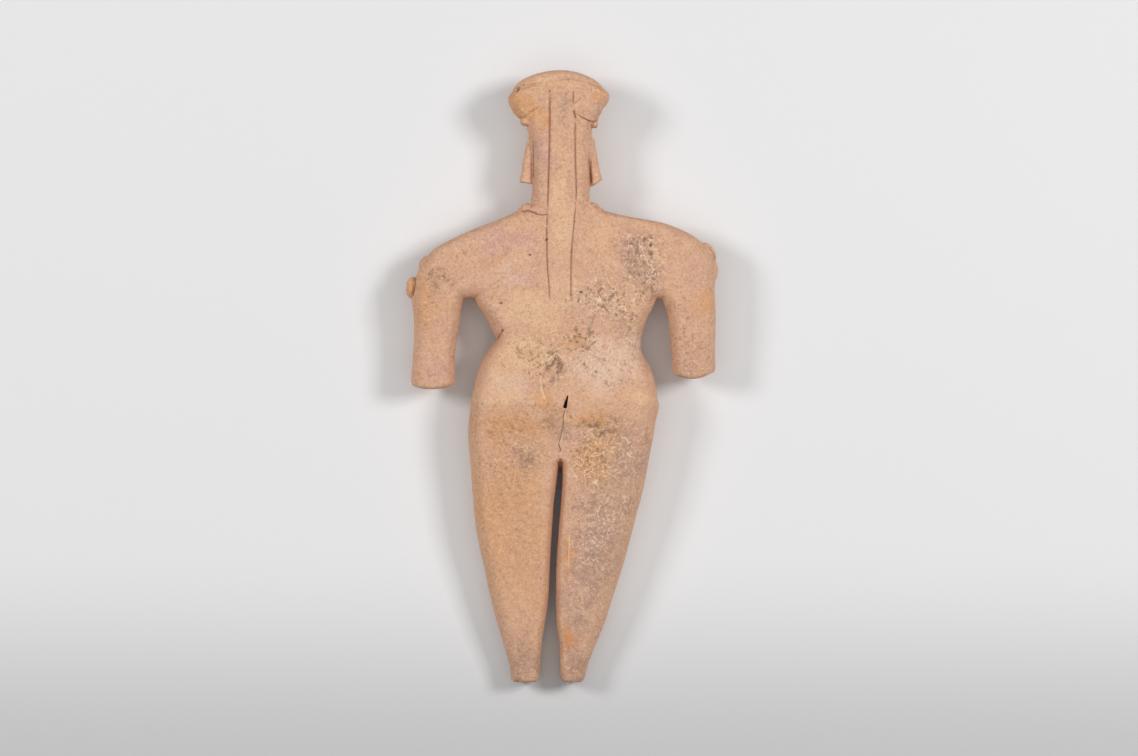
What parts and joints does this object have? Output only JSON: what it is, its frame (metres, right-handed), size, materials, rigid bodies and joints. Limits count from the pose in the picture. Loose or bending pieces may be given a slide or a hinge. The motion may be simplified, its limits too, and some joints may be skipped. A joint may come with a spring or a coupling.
{
  "type": "figurine",
  "caption": "Flat hand-modelled female figure of fired clay, lying on its front: fan headdress, long plait, ear pendants, short arm stubs and tapering legs.",
  "frame": {"origin": "on the ground, under the middle of the bounding box, with the figure lying on its front", "axes": "+Y towards the crown of the head, +X to the right as seen from behind, +Z out of the back"},
  "size_m": [0.163, 0.3196, 0.0355],
  "materials": {
    "fired_clay": "unglazed light orange fired clay, worn, with soil, root marks and dark mineral specks"
  },
  "bodies": {
    "root": {"clay_figure": "fired_clay"}
  },
  "joints": []
}
